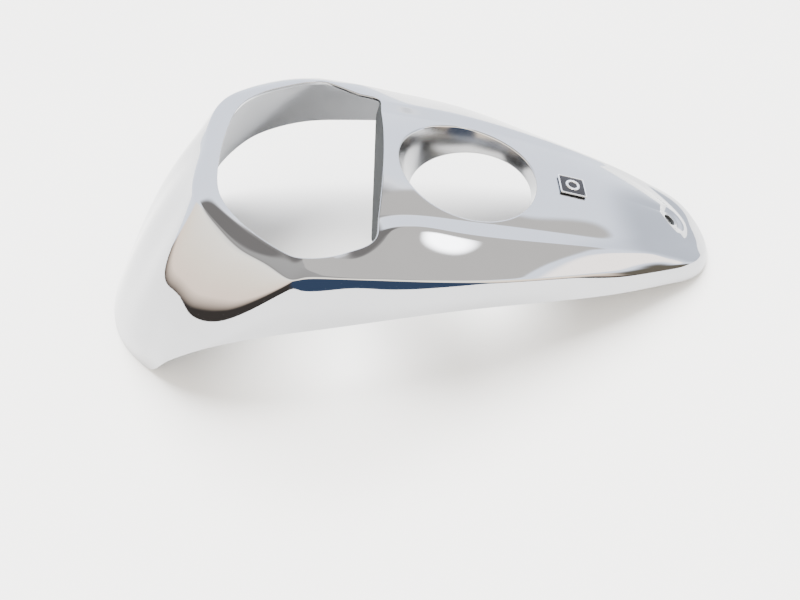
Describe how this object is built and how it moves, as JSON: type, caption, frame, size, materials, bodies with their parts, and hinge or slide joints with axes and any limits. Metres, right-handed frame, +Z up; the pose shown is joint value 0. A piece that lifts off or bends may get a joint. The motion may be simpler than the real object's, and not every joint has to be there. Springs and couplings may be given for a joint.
{
  "type": "motorcycle tank console cover",
  "caption": "Long chromed cover for the crest of a motorcycle fuel tank, with an instrument opening, a fuel-cap well and a tail screw seat.",
  "frame": {"origin": "middle of the footprint, on the plane that the nose lip and the tail rest on", "axes": "+X towards the tail, +Y towards the left-hand side of the tank, +Z up"},
  "size_m": [0.479, 0.235, 0.1308],
  "materials": {
    "shell_chrome": "polished mirror outside, satin inside",
    "bright_trim": "polished",
    "black_enamel": "gloss black",
    "foam_tape": "matt closed-cell foam",
    "zinc_steel": "zinc plated, satin",
    "black_rubber": "matt"
  },
  "bodies": {
    "root": {"cover_shell": "shell_chrome", "badge_pad": "foam_tape", "badge_plate": "bright_trim", "badge_inlay": "black_enamel", "badge_mark": "bright_trim", "nose_bracket": "zinc_steel", "bracket_screw_left": "zinc_steel", "bracket_screw_right": "zinc_steel", "nose_cushion_left": "black_rubber", "nose_cushion_right": "black_rubber", "skirt_cushion_left": "black_rubber", "skirt_cushion_right": "black_rubber"}
  },
  "joints": []
}
